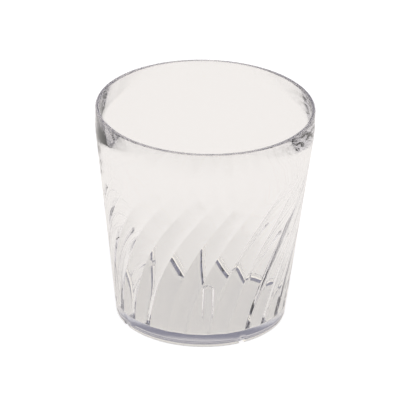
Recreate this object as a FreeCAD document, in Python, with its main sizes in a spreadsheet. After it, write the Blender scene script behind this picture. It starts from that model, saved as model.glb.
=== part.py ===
import FreeCAD, Part
import math
import os
import Sketcher
from FreeCAD import Placement, Rotation, Vector

# Clear tumbler, moulded in one piece. Millimetres, +Z up, origin at the middle of the
# foot, on the surface that the cup stands on. The front of the cup faces -Y, and
# angles run from +X, turning towards +Y.

# Driving dimensions: name, value, what it measures
DIMENSIONS = [
    ("height", 85.5, "foot to lip"),
    ("rim_diameter", 82.5, "outside of the upright band under the lip"),
    ("foot_diameter", 64.0, "outside of the tapered side, carried down to the foot"),
    ("band_height", 9.1, "upright band under the lip"),
    ("lip_wall", 1.4, "wall at the lip"),
    ("lip_round", 0.5, "rounding of the lip, inside and outside"),
    ("band_wall", 2.5, "wall at the foot of the band"),
    ("side_wall", 2.3, "wall where the side meets the floor"),
    ("floor_height", 4.8, "top of the floor"),
    ("floor_plate", 2.7, "thickness of the floor"),
    ("floor_round", 1.0, "rounding between floor and side, inside"),
    ("foot_round", 1.2, "rounding under the side, outside"),
    ("foot_ring", 1.4, "width of the ring that the cup stands on"),
    ("ring_round", 0.3, "rounding of the ring towards the hollow under the floor"),
    ("rib_pairs", 13, "pairs of swirl ribs round the inside, a full one and a flat one by turns"),
    ("full_rib", 0.75, "crest of a full rib over the wall, at the floor"),
    ("flat_rib", 0.4, "crest of a flat rib over the wall, at the floor"),
    ("rib_top", 66.0, "height at which the ribs run out into the wall"),
    ("swirl_angle", 258.6, "place of the valley after the first full rib, at the foot, degrees"),
    ("swirl_start", 0.17, "turn of a rib at the foot, degrees for each mm of height"),
    ("swirl_gain", 0.0086, "growth of that turn, degrees for each mm of height squared"),
    ("lug_count", 3, "stacking lugs inside, on which the next cup's foot rests"),
    ("lug_width", 4.4, "width of a stacking lug"),
    ("lug_top", 27.0, "top of the lugs"),
    ("lug_depth", 4.2, "how far a lug's face stands in from the wall, at its top"),
    ("lug_angle", 274.8, "place of the first lug, degrees"),
    ("notch_count", 4, "drain notches under the foot ring"),
    ("notch_width", 2.8, "width of a drain notch"),
    ("notch_height", 1.6, "height of a drain notch"),
    ("notch_angle", 300.0, "place of the first notch, degrees"),
]

# The cavity is lofted through this station and the ones below it
LAST_STATION = 6

doc = FreeCAD.newDocument("tumbler")
sheet = doc.addObject("Spreadsheet::Sheet", "sizes")
for row, (name, value, meaning) in enumerate(DIMENSIONS, start=1):
    sheet.set(f"A{row}", name)
    sheet.set(f"B{row}", str(value))
    sheet.setAlias(f"B{row}", name)
    sheet.set(f"C{row}", meaning)
doc.recompute()

body = doc.addObject("PartDesign::Body", "tumbler_body")
body.Label = "tumbler"
body.Placement = Placement()


def sized(expression):
    """Turn every <name> in an expression into the sheet's cell of that name."""
    return expression.replace("<", "sizes.").replace(">", "")


def worth(expression):
    """Work out an expression with the sheet's present values."""
    result = sheet.evalExpression(sized(expression))
    return float(getattr(result, "Value", result))


# Radii that several features share, as expressions of the driving dimensions
FOOT_RADIUS = "<foot_diameter> / 2"
RIM_RADIUS = "<rim_diameter> / 2"
BAND_FOOT = "(<height> - <band_height>)"


def outside_at(level):
    """Radius of the tapered outside at a height."""
    return f"({FOOT_RADIUS} + ({RIM_RADIUS} - {FOOT_RADIUS}) * ({level}) / {BAND_FOOT})"


INSIDE_FOOT = f"({outside_at('<floor_height>')} - <side_wall>)"
INSIDE_SHOULDER = f"({RIM_RADIUS} - <band_wall>)"


def inside_at(level):
    """Radius of the tapered inside, without its ribs, at a height."""
    rise = f"((({level}) - <floor_height>) / ({BAND_FOOT} - <floor_height>))"
    return f"({INSIDE_FOOT} + ({INSIDE_SHOULDER} - {INSIDE_FOOT}) * {rise})"


def origin_part(role):
    return next(item for item in body.Origin.OriginFeatures if item.Role == role)


def new_sketch(name, plane, level="0", turn="0"):
    """Add a sketch on an origin plane, raised to a level and turned about the axis."""
    sketch = body.newObject("Sketcher::SketchObject", name)
    sketch.AttachmentSupport = [(origin_part(plane), "")]
    sketch.MapMode = "FlatFace"
    upright = Vector(0, 0, 1) if plane == "XY_Plane" else Vector(0, 1, 0)
    sketch.AttachmentOffset = Placement(Vector(), Rotation(upright, 1))
    lift = "z" if plane == "XY_Plane" else "y"
    sketch.setExpression(f"AttachmentOffset.Base.{lift}", sized(level))
    sketch.setExpression("AttachmentOffset.Rotation.Angle", sized(turn))
    return sketch


def hold(sketch, element, point, across, up):
    """Pin a point of a sketch at the place that two expressions give."""
    for kind, expression, axis in (("DistanceX", across, -2), ("DistanceY", up, -1)):
        value = worth(expression)
        if value == 0:
            sketch.addConstraint(Sketcher.Constraint("PointOnObject", element, point, axis))
        else:
            index = sketch.addConstraint(Sketcher.Constraint(kind, -1, 1, element, point, value))
            sketch.setExpression(f"Constraints[{index}]", sized(expression))


def outline(sketch, corners):
    """Draw a closed outline of straight edges through corners given by expressions."""
    places = [Vector(worth(across), worth(up), 0) for across, up in corners]
    for start, end in zip(places, places[1:] + places[:1]):
        sketch.addGeometry(Part.LineSegment(start, end))
    for edge, (across, up) in enumerate(corners):
        before = (edge - 1) % len(corners)
        sketch.addConstraint(Sketcher.Constraint("Coincident", before, 2, edge, 1))
        hold(sketch, edge, 1, across, up)


def round_off(name, radius, *tests):
    """Round the body's edges that any of the tests picks."""
    base = body.Tip
    edges = [f"Edge{number}" for number, edge in enumerate(base.Shape.Edges, start=1)
             if any(test(edge) for test in tests)]
    fillet = body.newObject("PartDesign::Fillet", name)
    fillet.Base = (base, edges)
    fillet.setExpression("Radius", sized(radius))
    doc.recompute()


def ring_edge(radius, level):
    """Make the test for the round edge of a given radius at a given height."""

    def wanted(edge):
        curve = edge.Curve
        if not isinstance(curve, Part.Circle):
            return False
        return abs(curve.Radius - worth(radius)) < 0.01 and abs(curve.Center.z - worth(level)) < 0.01

    return wanted


def repeat(name, feature, count):
    """Repeat a feature round the cup's axis."""
    pattern = body.newObject("PartDesign::PolarPattern", name)
    pattern.Originals = [feature]
    pattern.Axis = (origin_part("Z_Axis"), [""])
    pattern.Angle = 360
    pattern.setExpression("Occurrences", sized(count))
    body.Tip = pattern
    doc.recompute()


# Wall, floor and foot: one section turned round the axis
UNDERSIDE = "(<floor_height> - <floor_plate>)"
FLOOR_MIDDLE = "(<floor_height> - <floor_plate> / 2)"
RING_OUTSIDE = f"({FOOT_RADIUS} - <foot_round>)"
RING_INSIDE = f"({RING_OUTSIDE} - <foot_ring>)"

section = new_sketch("wall_section", "XZ_Plane")
outline(section, [
    ("0", UNDERSIDE),
    (RING_INSIDE, UNDERSIDE),
    (RING_INSIDE, "0"),
    (FOOT_RADIUS, "0"),
    (RIM_RADIUS, BAND_FOOT),
    (RIM_RADIUS, "<height>"),
    (f"{RIM_RADIUS} - <lip_wall>", "<height>"),
    (INSIDE_SHOULDER, BAND_FOOT),
    (inside_at("<rib_top>"), "<rib_top>"),
    ("0", "<rib_top>"),
])
wall = body.newObject("PartDesign::Revolution", "wall")
wall.Profile = section
wall.ReferenceAxis = (section, ["V_Axis"])
wall.Angle = 360
doc.recompute()

round_off("lip", "min(<lip_round>; <lip_wall> * 0.48)",
          ring_edge(RIM_RADIUS, "<height>"),
          ring_edge(f"{RIM_RADIUS} - <lip_wall>", "<height>"))
round_off("foot_outside", "<foot_round>", ring_edge(FOOT_RADIUS, "0"))
round_off("foot_inside", "min(<ring_round>; <foot_ring> * 0.4)", ring_edge(RING_INSIDE, "0"))

# Swirl ribs: the cavity is lofted up from the floor through scalloped sections. Each is
# turned on a little further than the one below, and its scallops are shallower, until
# they run out into the plain wall. Between two valleys stands one rounded rib.


def cavity_section(station):
    """Draw the scalloped outline of the cavity at one of its stations."""
    share = f"({station} / {LAST_STATION})"
    level = f"(<floor_height> + (<rib_top> - <floor_height>) * {share})"
    turn = f"(<swirl_angle> + <swirl_start> * {level} + <swirl_gain> * {level}^2) * 1deg"
    sketch = new_sketch(f"cavity_section_{station}", "XY_Plane", level, turn)
    valley = worth(inside_at(level))
    crests = [worth(f"{inside_at(level)} - {rib} * (1 - {share}^2)")
              for rib in ("<full_rib>", "<flat_rib>")]
    ribs = 2 * round(worth("<rib_pairs>"))

    def place(radius, step):
        angle = 2 * math.pi * step / ribs
        return Vector(radius * math.cos(angle), radius * math.sin(angle), 0)

    for rib in range(ribs):
        crest = crests[rib % 2]
        face = Part.Arc(place(valley, rib - 1), place(crest, rib - 0.5), place(valley, rib))
        sketch.addGeometry(face)
        sketch.addConstraint(Sketcher.Constraint("Block", rib))
    return sketch


stations = [cavity_section(station) for station in range(LAST_STATION + 1)]
doc.recompute()
cavity = body.newObject("PartDesign::SubtractiveLoft", "ribbed_cavity")
cavity.Profile = stations[0]
cavity.Sections = stations[1:]
doc.recompute()


def floor_edge(edge):
    """Pick the edges between the floor and the foot of the ribs."""
    level = worth("<floor_height>")
    return all(abs(point.Z - level) < 0.01 for point in edge.Vertexes) and edge.Length > 1


round_off("floor_corner", "<floor_round>", floor_edge)

# Stacking lugs: upright ribs that stand on the floor and root in the leaning wall
LUG_FACE = f"({inside_at('<lug_top>')} - <lug_depth>)"
lug_side = new_sketch("lug_side", "XZ_Plane", turn="<lug_angle>")
outline(lug_side, [
    (LUG_FACE, FLOOR_MIDDLE),
    (f"{inside_at(FLOOR_MIDDLE)} + <side_wall> / 2", FLOOR_MIDDLE),
    (f"{inside_at('<lug_top>')} + <side_wall> / 2", "<lug_top>"),
    (LUG_FACE, "<lug_top>"),
])
lug = body.newObject("PartDesign::Pad", "lug")
lug.Profile = lug_side
lug.SideType = "Symmetric"
lug.setExpression("Length", sized("<lug_width>"))
doc.recompute()
repeat("lugs", lug, "<lug_count>")


def lug_shoulder(edge):
    """Pick the edges along the top of a lug that run from its face to the wall."""
    ends = edge.Vertexes
    level = worth("<lug_top>")
    flat = all(abs(point.Z - level) < 0.01 for point in ends)
    distances = [math.hypot(point.X, point.Y) for point in ends]
    return flat and isinstance(edge.Curve, Part.Line) and max(distances) - min(distances) > 0.1


round_off("lug_tops", "<lug_width> * 0.45", lug_shoulder)

# Drain notches across the foot ring
notch_plan = new_sketch("notch_plan", "XY_Plane", turn="<notch_angle>")
outline(notch_plan, [
    (f"{RING_INSIDE} - <foot_ring> / 4", "-<notch_width> / 2"),
    (f"{FOOT_RADIUS} + <side_wall>", "-<notch_width> / 2"),
    (f"{FOOT_RADIUS} + <side_wall>", "<notch_width> / 2"),
    (f"{RING_INSIDE} - <foot_ring> / 4", "<notch_width> / 2"),
])
whole = body.Shape.Volume
notch = body.newObject("PartDesign::Pocket", "notch")
notch.Profile = notch_plan
notch.setExpression("Length", sized("<notch_height>"))
notch.Reversed = True
doc.recompute()
repeat("notches", notch, "<notch_count>")

for item in doc.Objects:
    if "Invalid" in item.State or "Error" in item.State:
        raise RuntimeError(f"{item.Label} failed: {item.State}")
if body.Shape.isNull() or not body.Shape.isValid() or len(body.Shape.Solids) != 1:
    raise RuntimeError("the tumbler is not one sound solid")
if body.Shape.Volume > whole - 1:
    raise RuntimeError("the notches cut nothing")

os.makedirs("parts", exist_ok=True)
body.Shape.exportStep(f"parts/{body.Label}.step")
print("plastic", round(body.Shape.Volume / 1000, 2), "cm3 in", len(body.Shape.Faces), "faces")
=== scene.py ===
# %% [markdown]
# # A clear moulded tumbler
# This lesson dresses one clear plastic cup. A designer's solid gives its size and place. The
# solid's mesh is made of flat facets, which is fine for weighing and standing it, but clear
# plastic bends light at every facet. So the cup is modelled again here with a much finer skin,
# on the solid's outline, and then it gets its plastic, a table, soft light and a camera.

# %% Load the fixed frame
import math

import bmesh
import bpy
from mathutils import Matrix, Vector


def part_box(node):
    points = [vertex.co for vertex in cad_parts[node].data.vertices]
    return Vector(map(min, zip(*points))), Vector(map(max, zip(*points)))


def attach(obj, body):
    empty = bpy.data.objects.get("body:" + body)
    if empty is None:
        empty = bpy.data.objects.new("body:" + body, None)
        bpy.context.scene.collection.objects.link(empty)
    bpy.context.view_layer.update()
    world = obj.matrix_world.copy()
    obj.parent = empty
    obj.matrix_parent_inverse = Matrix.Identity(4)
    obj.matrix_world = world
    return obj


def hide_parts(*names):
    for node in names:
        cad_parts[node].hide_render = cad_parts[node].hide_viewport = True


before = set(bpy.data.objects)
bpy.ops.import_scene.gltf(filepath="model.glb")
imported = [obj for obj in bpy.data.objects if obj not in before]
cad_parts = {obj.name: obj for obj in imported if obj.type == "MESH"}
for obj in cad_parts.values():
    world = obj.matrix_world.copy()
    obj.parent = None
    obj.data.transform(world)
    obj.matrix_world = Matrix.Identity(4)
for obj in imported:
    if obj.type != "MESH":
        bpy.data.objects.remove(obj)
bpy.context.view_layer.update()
low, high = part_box("tumbler")
print("solid tumbler from", [round(v, 4) for v in low], "to", [round(v, 4) for v in high])

# %% [markdown]
# ## Sizes
# All lengths are in metres. The outside radius and the height are measured on the solid, so
# the fine skin can't stand proud of it. The rest are the cup's own wall and floor sizes.
# Along the wall everything is found by height: one line gives the outside's radius and one
# the inside's, because both are plain tapers. A hair, a hundredth of a millimetre, is the
# slack for finding things by place.

# %% Section of the cup
MM = 0.001
HAIR = 0.01 * MM
RIM = min(-low[0], high[0], -low[1], high[1])
HEIGHT = high[2]
FOOT = 32.0 * MM
BAND_FOOT = 76.4 * MM
FLOOR = 5.1 * MM
UNDERSIDE = 1.0 * MM
LIP_WALL = 1.4 * MM
BAND_WALL = 2.5 * MM
SIDE_WALL = 2.3 * MM
RING_INSIDE = 29.4 * MM


def outside_at(level):
    """Radius of the tapered outside at a height."""
    return FOOT + (RIM - FOOT) * level / BAND_FOOT


def inside_at(level):
    """Radius of the inside, in the valleys between the ribs, at a height."""
    low_radius = outside_at(FLOOR) - SIDE_WALL
    rise = (level - FLOOR) / (BAND_FOOT - FLOOR)
    return low_radius + (RIM - BAND_WALL - low_radius) * rise


print("inside radius at the floor", round(inside_at(FLOOR) / MM, 2), "mm")

# %% [markdown]
# ## The ribs, in numbers
# Thirteen pairs of ribs swirl up the inside: a fuller one and a flatter one by turns. Each is a
# shallow rounded pad between two sharp valleys. The swirl is in degrees: where a valley would
# meet the ground, how far it turns with each millimetre at the start, and the gain on that as
# it climbs. The crests sink back into the wall until nothing is left of them. One pair is
# modelled, on a narrow slice of the whole cup, and the slice is then copied round: what repeats
# is made once.

# %% Rib values
PAIRS = 13
SLICE = 2 * math.pi / PAIRS
RIB = SLICE / 2
FULL_RIB = 0.75 * MM
FLAT_RIB = 0.4 * MM
RIB_TOP = 66.0 * MM
SLICE_STEPS = 48
SWIRL_PLACE = 245.8
SWIRL_START = 0.17
SWIRL_GAIN = 0.0086


def swirl(level):
    """Place of the valley before the first full rib at a height, from +X towards +Y."""
    climb = min(level, RIB_TOP) / MM
    return math.radians(SWIRL_PLACE + SWIRL_START * climb + SWIRL_GAIN * climb ** 2)


def rib_share(level):
    """Height of the crests at a level, as a share of their height at the floor."""
    return 1 - min(max((level - FLOOR) / (RIB_TOP - FLOOR), 0), 1) ** 2


print("ribs turn by", round(math.degrees(swirl(RIB_TOP) - swirl(FLOOR)), 1), "degrees on their way up")

# %% [markdown]
# ## Draw the section
# The cup's wall could be a cylinder that is pushed about, but a turned thing is quicker as a
# section: a line of points, drawn once, rounded at its corners and swept round the axis.
# A single point is pulled on from corner to corner with Extrude. It starts under the middle of
# the floor, goes out round the foot, up the side, over the lip and back down the inside.

# %% Helpers for working by hand
def deselect_everything():
    if bpy.context.object and bpy.context.object.mode == "EDIT":
        bpy.ops.object.mode_set(mode="OBJECT")
    bpy.ops.object.select_all(action="DESELECT")


def edit(piece, kind="VERT"):
    """Open one piece in edit mode with nothing selected."""
    deselect_everything()
    piece.select_set(True)
    bpy.context.view_layer.objects.active = piece
    bpy.ops.object.mode_set(mode="EDIT")
    bpy.ops.mesh.select_mode(type=kind)
    bpy.ops.mesh.select_all(action="DESELECT")
    return bmesh.from_edit_mesh(piece.data)


def pick(mesh, elements, wanted):
    """Select the vertices, edges or faces that a test picks, and nothing else."""
    for element in elements:
        element.select_set(False)
    chosen = [element for element in elements if wanted(element)]
    for element in chosen:
        element.select_set(True)
    mesh.select_flush_mode()
    return len(chosen)


def middle(edge):
    return (edge.verts[0].co + edge.verts[1].co) / 2


print("helpers ready: deselect_everything, edit, pick and middle")

# %% [markdown]
# The corners are pairs of radius and height, in the order in which the line is pulled.

# %% Pull the section's line through its corners
CORNERS = [
    (0, UNDERSIDE),
    (RING_INSIDE, UNDERSIDE),
    (RING_INSIDE, 0),
    (FOOT, 0),
    (RIM, BAND_FOOT),
    (RIM, HEIGHT),
    (RIM - LIP_WALL, HEIGHT),
    (RIM - BAND_WALL, BAND_FOOT),
    (inside_at(RIB_TOP), RIB_TOP),
    (inside_at(FLOOR), FLOOR),
    (0, FLOOR),
]

deselect_everything()
bpy.ops.mesh.primitive_plane_add(size=MM, location=(0, 0, UNDERSIDE))
cup = bpy.context.object
cup.name = cup.data.name = "clear_tumbler"
bpy.ops.object.transform_apply(location=True, rotation=True, scale=True)
edit(cup)
bpy.ops.mesh.select_all(action="SELECT")
bpy.ops.mesh.merge(type="CENTER")
for (radius, level), (next_radius, next_level) in zip(CORNERS, CORNERS[1:]):
    step = (next_radius - radius, 0, next_level - level)
    bpy.ops.mesh.extrude_vertices_move(TRANSFORM_OT_translate={"value": step})
print("section has", len(bmesh.from_edit_mesh(cup.data).verts), "corners")

# %% [markdown]
# The corners of a moulding are never sharp. Bevel, set to vertices, turns a corner of a line
# into an arc. The lip is rounded on both sides and the foot outside, and the corner between
# floor and side is eased so that it washes clean. The band's lower edge gets a wide soft arc,
# because a hard one draws a hard black streak where the wall is seen edge on.

# %% Round the section's corners
LIP_ROUND = 0.65 * MM
FOOT_ROUND = 1.1 * MM
RING_ROUND = 0.3 * MM
FLOOR_ROUND = 0.45 * MM
BAND_ROUND = 2.0 * MM


def round_corner(radius, level, reach, segments):
    mesh = edit(cup)
    spot = Vector((radius, 0, level))
    found = pick(mesh, mesh.verts, lambda vert: (vert.co - spot).length < HAIR)
    bpy.ops.mesh.bevel(affect="VERTICES", offset_type="OFFSET", offset=reach, segments=segments)
    return found


rounded = [
    round_corner(RIM, HEIGHT, LIP_ROUND, segments=8),
    round_corner(RIM - LIP_WALL, HEIGHT, LIP_ROUND, segments=8),
    round_corner(FOOT, 0, FOOT_ROUND, segments=8),
    round_corner(RING_INSIDE, 0, RING_ROUND, segments=4),
    round_corner(RING_INSIDE, UNDERSIDE, RING_ROUND, segments=3),
    round_corner(inside_at(FLOOR), FLOOR, FLOOR_ROUND, segments=5),
    round_corner(RIM, BAND_FOOT, BAND_ROUND, segments=6),
]
print("corners found and rounded:", sum(rounded))

# %% [markdown]
# ## Cut the long runs
# The swirl needs a row of points at about each millimetre of the ribbed wall, because each row
# is turned on a little further than the one below. The plain outside needs only a few rows,
# and so do the two flat faces of the floor. Subdivide cuts the straight runs of the line, and
# leaves the short edges of the rounded corners alone.

# %% Subdivide the runs
LONGEST_CORNER_EDGE = 2 * MM


def cut_run(start, end, cuts):
    mesh = edit(cup, "EDGE")
    ends = [Vector((radius, 0, level)) for radius, level in (start, end)]
    length = (ends[1] - ends[0]).length
    run = (ends[1] - ends[0]) / length

    def lies_on_run(edge):
        along = (middle(edge) - ends[0]).dot(run)
        beside = (middle(edge) - ends[0] - run * along).length
        return beside < HAIR and 0 < along < length and edge.calc_length() > LONGEST_CORNER_EDGE

    pick(mesh, mesh.edges, lies_on_run)
    bpy.ops.mesh.subdivide(number_cuts=cuts)


cut_run((inside_at(RIB_TOP), RIB_TOP), (inside_at(FLOOR), FLOOR), cuts=60)
cut_run((0, FLOOR), (inside_at(FLOOR), FLOOR), cuts=4)
cut_run((0, UNDERSIDE), (RING_INSIDE, UNDERSIDE), cuts=4)
cut_run((FOOT, 0), (RIM, BAND_FOOT), cuts=11)
print("section has", len(bmesh.from_edit_mesh(cup.data).verts), "points")

# %% [markdown]
# ## Sweep one slice
# Spin sweeps the line about the cup's axis. It is swept through one pair of ribs' share of the
# circle only, with the valley between the two on the X axis. That makes the next step simple:
# on so narrow a slice, moving a point back along X pushes it towards the axis. The line's ends
# lie on the axis and don't move, so their copies are welded into one point.

# %% Spin the line through one slice
AXIS_WELD = 1e-7

edit(cup)
bpy.ops.mesh.select_all(action="SELECT")
bpy.ops.transform.rotate(value=-SLICE / 2, orient_axis="Z", center_override=(0, 0, 0))
bpy.ops.mesh.spin(steps=SLICE_STEPS, angle=SLICE, center=(0, 0, 0), axis=(0, 0, 1))
bpy.ops.mesh.select_all(action="SELECT")
bpy.ops.mesh.remove_doubles(threshold=AXIS_WELD)
bpy.ops.mesh.normals_make_consistent(inside=False)
bpy.ops.object.mode_set(mode="OBJECT")
print("slice of", round(math.degrees(SLICE), 2), "degrees in", len(cup.data.polygons), "faces")

# %% [markdown]
# ## Raise the two ribs
# Two rounded pads have to rise from the inside wall, the fuller one on one side of the X axis
# and the flatter one on the other. Each is highest along its middle and nothing at its edges.
# Displace can do that in one move: it pushes each point as far as its weight says. The weight
# is a soft arch across each rib, which fades with height. The floor has no ribs: it is left
# out as all that lies nearer to the axis than the floor's rounded corner.

# %% Weigh the inside wall and push it in
FLOOR_EDGE = 28.5 * MM


def on_inside(point):
    """Tell whether a point is on the inside or the floor, no higher than the ribs."""
    radius = math.hypot(point.x, point.y)
    if point.z < FLOOR - HAIR or point.z > RIB_TOP:
        return False
    return radius < outside_at(point.z) - 0.5 * SIDE_WALL


arch = cup.vertex_groups.new(name="ribs")
weighted = 0
for vert in cup.data.vertices:
    if not on_inside(vert.co) or math.hypot(vert.co.x, vert.co.y) < FLOOR_EDGE:
        continue
    angle = math.atan2(vert.co.y, vert.co.x)
    across = 2 * abs(angle) / RIB - 1
    share = 1 if angle > 0 else FLAT_RIB / FULL_RIB
    weight = share * (1 - across ** 2) * rib_share(vert.co.z)
    if weight > 0:
        arch.add([vert.index], weight, "REPLACE")
        weighted += 1

push = cup.modifiers.new("ribs", "DISPLACE")
push.vertex_group = "ribs"
push.direction = "X"
push.mid_level = 0
push.strength = -FULL_RIB
deselect_everything()
cup.select_set(True)
bpy.context.view_layer.objects.active = cup
bpy.ops.object.modifier_apply(modifier=push.name)
cup.vertex_groups.clear()
print("points pushed in:", weighted)

# %% [markdown]
# ## Swirl the ribs
# On the real cup the ribs lean as they climb, and lean more and more. Each row of the inside
# is turned about the axis by its own amount, and the outside is turned as one, by the amount
# of the topmost row, so that the lip stays plain. Rotate is told its centre, because with no
# window it can't ask for one, and there its sense is the other way round.

# %% Turn each row
LEVEL_DIGITS = 7


def turn_selected(angle):
    """Turn what is selected about the cup's axis, from +X towards +Y."""
    bpy.ops.transform.rotate(value=-angle, orient_axis="Z", center_override=(0, 0, 0))


mesh = edit(cup)
levels = sorted({round(vert.co.z, LEVEL_DIGITS) for vert in mesh.verts if on_inside(vert.co)})
for level in levels:
    pick(mesh, mesh.verts, lambda vert: on_inside(vert.co) and round(vert.co.z, LEVEL_DIGITS) == level)
    turn_selected(swirl(level))
pick(mesh, mesh.verts, lambda vert: not on_inside(vert.co))
turn_selected(swirl(RIB_TOP))
bpy.ops.object.mode_set(mode="OBJECT")
print("rows turned:", len(levels))

# %% [markdown]
# ## Copy the slice round
# Spin can also copy what is selected instead of sweeping it. The copies meet edge to edge, and
# merging by distance welds them into one closed skin.

# %% Copy and weld
SEAM_WELD = 2e-6

edit(cup)
bpy.ops.mesh.select_all(action="SELECT")
bpy.ops.mesh.spin(steps=PAIRS - 1, dupli=True, angle=SLICE * (PAIRS - 1),
                  center=(0, 0, 0), axis=(0, 0, 1))
bpy.ops.mesh.select_all(action="SELECT")
bpy.ops.mesh.remove_doubles(threshold=SEAM_WELD)
bpy.ops.mesh.normals_make_consistent(inside=False)
mesh = bmesh.from_edit_mesh(cup.data)
open_edges = sum(not edge.is_manifold for edge in mesh.edges)
print("cup skin:", len(mesh.faces), "faces, open edges:", open_edges,
      "volume", round(mesh.calc_volume() * 1e6, 2), "cm3")
bpy.ops.object.mode_set(mode="OBJECT")

# %% [markdown]
# ## Stacking lugs
# Three upright ribs stand on the floor inside. The next cup in a stack rests its foot on their
# rounded tops, so that cups don't jam together. Each is a box that leans its back into the
# wall. Its face is a little narrower than its back, its top is rounded with Bevel, and its
# front edges are eased, as suits a mould. Lugs and notches are both made as one block on the X
# axis, which is then turned to its place and copied round, so two helpers come first.

# %% Helpers for blocks
def add_block(name, lowest, highest):
    """Add a box between two corners, with its size and place in its mesh."""
    deselect_everything()
    centre = [(a + b) / 2 for a, b in zip(lowest, highest)]
    bpy.ops.mesh.primitive_cube_add(size=1, location=centre)
    block = bpy.context.object
    block.name = block.data.name = name
    block.scale = [b - a for a, b in zip(lowest, highest)]
    bpy.ops.object.transform_apply(location=True, rotation=True, scale=True)
    return block


def copy_round(block, place, count):
    """Turn a block from the X axis to its place in degrees and copy it round the cup."""
    edit(block)
    bpy.ops.mesh.select_all(action="SELECT")
    turn_selected(math.radians(place))
    part = 2 * math.pi / count
    bpy.ops.mesh.spin(steps=count - 1, dupli=True, angle=part * (count - 1),
                      center=(0, 0, 0), axis=(0, 0, 1))
    bpy.ops.object.mode_set(mode="OBJECT")


print("helpers ready: add_block and copy_round")

# %% [markdown]
# The lug's root is sunk into the floor and its back into the wall, so that they can be joined
# cleanly later on. After the first bevel the face is bounded by edges that turn by about a
# right angle, which tells them from the small edges of the rounded top.

# %% Model one lug and copy it round
LUG_COUNT = 3
LUG_PLACE = 274.8
LUG_WIDTH = 4.4 * MM
LUG_TOP = 27.0 * MM
LUG_FACE = inside_at(LUG_TOP) - 2.4 * MM
LUG_BACK = inside_at(LUG_TOP) + 1 * MM
LUG_ROOT = FLOOR - 1.3 * MM
FACE_SHARE = 0.85
TOP_ROUND = 0.38 * LUG_WIDTH
FRONT_ROUND = 1.2 * MM
FRONT_TURN = math.radians(70)

lugs = add_block("lugs", (LUG_FACE, -LUG_WIDTH / 2, LUG_ROOT), (LUG_BACK, LUG_WIDTH / 2, LUG_TOP))
mesh = edit(lugs)
pick(mesh, mesh.verts, lambda vert: vert.co.x > LUG_FACE + MM and vert.co.z < FLOOR)
lean = inside_at(LUG_TOP) - inside_at(LUG_ROOT)
bpy.ops.transform.translate(value=(-lean, 0, 0))
pick(mesh, mesh.verts, lambda vert: vert.co.x < LUG_FACE + HAIR)
bpy.ops.transform.resize(value=(1, FACE_SHARE, 1))

mesh = edit(lugs, "EDGE")
pick(mesh, mesh.edges, lambda edge: abs(middle(edge).y) > MM and middle(edge).z > LUG_TOP - HAIR)
bpy.ops.mesh.bevel(offset_type="OFFSET", offset=TOP_ROUND, segments=10)

mesh = edit(lugs, "EDGE")
pick(mesh, mesh.edges, lambda edge: middle(edge).z > FLOOR and middle(edge).x < LUG_FACE + HAIR
     and abs(edge.calc_face_angle()) > FRONT_TURN)
bpy.ops.mesh.bevel(offset_type="OFFSET", offset=FRONT_ROUND, segments=8)
copy_round(lugs, LUG_PLACE, LUG_COUNT)
print("lugs:", len(lugs.data.polygons), "faces, face at", round(LUG_FACE / MM, 2), "mm from the axis")

# %% [markdown]
# ## Drain notches
# Four shallow notches cross the ring under the foot, so that a cup turned over in the washer
# sheds its water. They are cut, so the tool for each is a block as wide as the notch, with
# its upper edges rounded. It sticks out of the cup on the outside and below, where the notch
# is open, and it runs in a little past the ring.

# %% Model the notch cutter
NOTCH_COUNT = 4
NOTCH_PLACE = 300.0
NOTCH_WIDTH = 2.8 * MM
NOTCH_HEIGHT = 1.6 * MM
NOTCH_ROUND = 0.4 * MM
NOTCH_INNER = RING_INSIDE - 0.6 * MM
NOTCH_OUTER = FOOT + 2 * MM
NOTCH_BOTTOM = -1 * MM

notches = add_block("notches", (NOTCH_INNER, -NOTCH_WIDTH / 2, NOTCH_BOTTOM),
                    (NOTCH_OUTER, NOTCH_WIDTH / 2, NOTCH_HEIGHT))
mesh = edit(notches, "EDGE")
pick(mesh, mesh.edges, lambda edge: abs(middle(edge).y) > MM and middle(edge).z > NOTCH_HEIGHT - HAIR)
bpy.ops.mesh.bevel(offset_type="OFFSET", offset=NOTCH_ROUND, segments=4)
copy_round(notches, NOTCH_PLACE, NOTCH_COUNT)
print("notch cutters:", NOTCH_COUNT, "in", len(notches.data.polygons), "faces")

# %% [markdown]
# A lug that only stood in the wall would leave a hidden skin between two lumps of the same
# plastic, and light would bend there, where there is nothing. A Boolean union makes one skin
# of them, as the mould does, and a Boolean difference takes the notches away.

# %% Join the lugs and cut the notches
def combine(tool, operation):
    deselect_everything()
    cup.select_set(True)
    bpy.context.view_layer.objects.active = cup
    step = cup.modifiers.new(tool.name, "BOOLEAN")
    step.object = tool
    step.operation = operation
    step.solver = "EXACT"
    bpy.ops.object.modifier_apply(modifier=step.name)
    bpy.data.objects.remove(tool)
    print(operation.lower(), "leaves", len(cup.data.polygons), "faces")


combine(lugs, "UNION")
combine(notches, "DIFFERENCE")

# %% [markdown]
# ## Smooth skin, sharp valleys
# Smooth shading blends the small faces into one polished skin. The valleys between the ribs
# are true creases though, and so are the edges of lugs and notches, so those edges are marked
# sharp. The valleys are found by their place: a whole number of ribs round from the swirl,
# give or take a small share of a rib. They fade out with the ribs, so an edge in a valley
# counts only where it still turns the skin.

# %% Mark the creases and shade the rest smooth
VALLEY_SLACK = 0.004
EDGE_TURN = math.radians(25)
VALLEY_TURN = math.radians(1.5)


def in_valley(point):
    across = (math.atan2(point.y, point.x) - swirl(point.z)) / RIB
    return on_inside(point) and abs(across - round(across)) < VALLEY_SLACK


def is_crease(edge):
    if len(edge.link_faces) != 2:
        return False
    turn = edge.calc_face_angle()
    valley = all(in_valley(vert.co) for vert in edge.verts)
    return turn > EDGE_TURN or (valley and turn > VALLEY_TURN)


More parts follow.
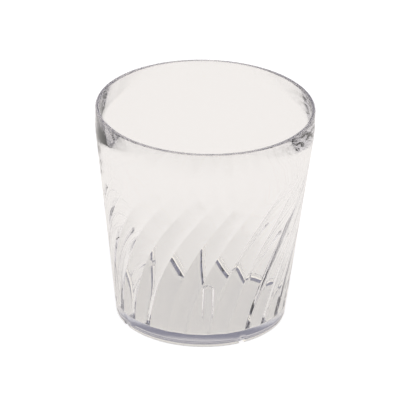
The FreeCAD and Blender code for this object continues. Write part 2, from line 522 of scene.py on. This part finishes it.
mesh = edit(cup, "EDGE")
creases = pick(mesh, mesh.edges, is_crease)
bpy.ops.mesh.mark_sharp()
open_edges = sum(not edge.is_manifold for edge in mesh.edges)
print("creases:", creases, "open edges:", open_edges,
      "volume", round(mesh.calc_volume() * 1e6, 2), "cm3")
bpy.ops.object.mode_set(mode="OBJECT")
bpy.ops.object.shade_smooth()

# %% [markdown]
# ## Clear plastic
# Glass-clear moulding plastic is modelled as a skin that bends light, with an index of about
# 1.57, filled with a faint lavender grey. Through a wall the tint hardly shows, but round the
# lip and along the foot light runs a long way inside, and there it draws soft dark lines.
# A moulded skin is never quite flat: noise on the cup's own coordinates, drawn out along its
# height, gives it the long soft waves in which the plastic flowed. The lip and the foot are
# what a cup is stacked and stood on, so both are a little duller, by height.

# %% Build the plastic
BODY_TINT = (0.955, 0.954, 0.962, 1)
LIP_WEAR = 0.12
LIP_WORN = 1.2 * MM
FOOT_WEAR = 0.15
FOOT_WORN = 2 * MM


def node(tree, kind, **values):
    """Add a node and set its sockets by name, with underscores for the spaces."""
    made = tree.nodes.new(kind)
    for name, value in values.items():
        made.inputs[name.replace("_", " ")].default_value = value
    return made


plastic = bpy.data.materials.new("clear_plastic")
plastic.use_nodes = True
tree = plastic.node_tree
tree.nodes.clear()
output = node(tree, "ShaderNodeOutputMaterial")
skin = node(tree, "ShaderNodeBsdfPrincipled", Base_Color=(1, 1, 1, 1), IOR=1.57,
            Transmission_Weight=1.0)
body_tint = node(tree, "ShaderNodeVolumeAbsorption", Color=BODY_TINT, Density=95)
tree.links.new(skin.outputs["BSDF"], output.inputs["Surface"])
tree.links.new(body_tint.outputs["Volume"], output.inputs["Volume"])

place = node(tree, "ShaderNodeTexCoord")
stretch = node(tree, "ShaderNodeMapping", Scale=(1, 1, 0.4))
flow = node(tree, "ShaderNodeTexNoise", Scale=30, Detail=1)
wave = node(tree, "ShaderNodeBump", Strength=0.02, Distance=0.0004)
tree.links.new(place.outputs["Object"], stretch.inputs["Vector"])
tree.links.new(stretch.outputs["Vector"], flow.inputs["Vector"])
tree.links.new(flow.outputs["Fac"], wave.inputs["Height"])
tree.links.new(wave.outputs["Normal"], skin.inputs["Normal"])


height = node(tree, "ShaderNodeSeparateXYZ")
tree.links.new(place.outputs["Object"], height.inputs["Vector"])


def wear(start, end, roughness):
    """Dull the skin from one height on, fully by another, and return the socket."""
    fade = node(tree, "ShaderNodeMapRange", From_Min=start, From_Max=end, To_Max=roughness)
    tree.links.new(height.outputs["Z"], fade.inputs["Value"])
    return fade.outputs["Result"]


scuffs = tree.nodes.new("ShaderNodeMath")
scuffs.operation = "MAXIMUM"
tree.links.new(wear(HEIGHT - LIP_WORN, HEIGHT, LIP_WEAR), scuffs.inputs[0])
tree.links.new(wear(FOOT_WORN, 0, FOOT_WEAR), scuffs.inputs[1])
tree.links.new(scuffs.outputs["Value"], skin.inputs["Roughness"])

cup.data.materials.clear()
cup.data.materials.append(plastic)
print("plastic nodes:", len(tree.nodes))

# %% [markdown]
# ## Tie the cup to the frame
# The new skin rides on the fixed frame's one body and stands for the solid.

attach(cup, "root")
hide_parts("tumbler")
print(cup.name, "stands for the solid tumbler, with", len(cup.data.polygons), "faces")

# %% [markdown]
# ## Table
# A clear thing shows only what is round it. Here that is mostly one pale table, seen through
# the cup's walls and floor. The table is painted, so that it takes the cup's soft shadow, and
# it also glows: more for the camera, which sees a white sheet, and less, in a warmer tone, for
# light that comes to the camera through the plastic or off it.
#
# Nodes are linked by the names of their sockets. The Mix node is the exception: it has a
# socket called A for each kind of value, so its two colours and its result are numbered here.

# %% Lay the table
MIX_FIRST, MIX_SECOND, MIX_RESULT = 6, 7, 2
TABLE_PAINT = (0.48, 0.466, 0.452, 1)
GLOW_SEEN = (0.85, 0.85, 0.85, 1)
GLOW_THROUGH = (0.635, 0.611, 0.564, 1)

deselect_everything()
bpy.ops.mesh.primitive_plane_add(size=4, location=(0, 0, 0))
table = bpy.context.object
table.name = table.data.name = "table"
cloth = bpy.data.materials.new("pale_table")
cloth.use_nodes = True
tree = cloth.node_tree
paint = tree.nodes["Principled BSDF"]
paint.inputs["Base Color"].default_value = TABLE_PAINT
paint.inputs["Roughness"].default_value = 1.0
paint.inputs["Specular IOR Level"].default_value = 0.0


def mix_colours(tree, factor, first, second):
    """Mix two colours, each a value or a socket, by a socket, and return the result's socket."""
    mix = tree.nodes.new("ShaderNodeMix")
    mix.data_type = "RGBA"
    for place_in_node, colour in ((MIX_FIRST, first), (MIX_SECOND, second)):
        if isinstance(colour, bpy.types.NodeSocket):
            tree.links.new(colour, mix.inputs[place_in_node])
        else:
            mix.inputs[place_in_node].default_value = colour
    tree.links.new(factor, mix.inputs["Factor"])
    return mix.outputs[MIX_RESULT]


ray = tree.nodes.new("ShaderNodeLightPath")
glow = tree.nodes.new("ShaderNodeEmission")
tree.links.new(mix_colours(tree, ray.outputs["Is Camera Ray"], GLOW_THROUGH, GLOW_SEEN),
               glow.inputs["Color"])
both = tree.nodes.new("ShaderNodeAddShader")
tree.links.new(paint.outputs["BSDF"], both.inputs[0])
tree.links.new(glow.outputs["Emission"], both.inputs[1])
tree.links.new(both.outputs["Shader"], tree.nodes["Material Output"].inputs["Surface"])
table.data.materials.append(cloth)
print("table nodes:", len(tree.nodes))

# %% [markdown]
# ## Light
# The camera sees a white room, but the plastic and the table see another one, which is bright
# low down and dim lavender grey overhead. The plastic's edges, where light runs a long way
# round inside, end up looking at that dim ceiling, which draws them as soft grey lines on the
# pale cup. A big soft lamp hangs above and a little in front. It is hidden from the plastic and
# lights the table only, so the cup throws a soft shadow behind it, and the ribs bend that
# shadow into bands.

# %% Light the studio
ROOM_LOW = (1.15, 1.15, 1.15, 1)
ROOM_HIGH = (0.27, 0.27, 0.34, 1)
WHITE = (1, 1, 1, 1)
LAMP_PLACE = Vector((0, -0.55, 1.5))
LAMP_SIZE = 0.7
LAMP_WATTS = 7

world = bpy.data.worlds.new("studio")
bpy.context.scene.world = world
world.use_nodes = True
tree = world.node_tree
view = tree.nodes.new("ShaderNodeTexCoord")
upward = tree.nodes.new("ShaderNodeSeparateXYZ")
ceiling = node(tree, "ShaderNodeMapRange", From_Min=0.05, From_Max=0.45)
ceiling.interpolation_type = "SMOOTHSTEP"
tree.links.new(view.outputs["Generated"], upward.inputs["Vector"])
tree.links.new(upward.outputs["Z"], ceiling.inputs["Value"])
room = mix_colours(tree, ceiling.outputs["Result"], ROOM_LOW, ROOM_HIGH)
ray = tree.nodes.new("ShaderNodeLightPath")
seen = mix_colours(tree, ray.outputs["Is Camera Ray"], room, WHITE)
tree.links.new(seen, tree.nodes["Background"].inputs["Color"])

lamp = bpy.data.objects.new("lamp", bpy.data.lights.new("lamp", "AREA"))
bpy.context.collection.objects.link(lamp)
lamp.location = LAMP_PLACE
lamp.rotation_euler = (-LAMP_PLACE).to_track_quat("-Z", "Y").to_euler()
lamp.data.size = LAMP_SIZE
lamp.data.energy = LAMP_WATTS
lamp.visible_glossy = False
lamp.visible_transmission = False
print("lamp stands", round(LAMP_PLACE.length, 2), "m from the cup")

# %% [markdown]
# Light that enters the rim or the foot is thrown to and fro many times before it leaves, so
# the paths are allowed to be long. Cut short, they would end in black.

# %% Let light run on inside the plastic
BOUNCES = 32
cycles = bpy.context.scene.cycles
cycles.max_bounces = BOUNCES
cycles.transmission_bounces = BOUNCES
cycles.glossy_bounces = BOUNCES
print("light may bounce", BOUNCES, "times")

# %% [markdown]
# ## Camera
# The camera stands well back with a long lens, as for a catalogue picture, and looks down at
# the cup by about 27 degrees, with a slight roll. From so far away the cup's sides hardly draw
# together, and its rim is nearly an even ellipse.

# %% Set up the camera
AIM = Vector((-1.18 * MM, 0, 46.14 * MM))
DISTANCE = 2.2
TILT = math.radians(26.71)
ROLL = math.radians(1.43)
LENS = 524.6
away = Vector((0, -math.cos(TILT), math.sin(TILT)))
level_right = Vector((1, 0, 0))
level_up = away.cross(level_right)
right = math.cos(ROLL) * level_right + math.sin(ROLL) * level_up
up = math.cos(ROLL) * level_up - math.sin(ROLL) * level_right

camera = bpy.data.objects.new("camera", bpy.data.cameras.new("camera"))
bpy.context.collection.objects.link(camera)
camera.matrix_world = Matrix((right, up, away)).transposed().to_4x4()
camera.matrix_world.translation = AIM + away * DISTANCE
camera.data.sensor_width = 36
camera.data.lens = LENS
camera.data.clip_end = 100
bpy.context.scene.camera = camera
bpy.context.scene.view_settings.view_transform = "Standard"
print("camera stands at", [round(v, 3) for v in camera.matrix_world.translation])
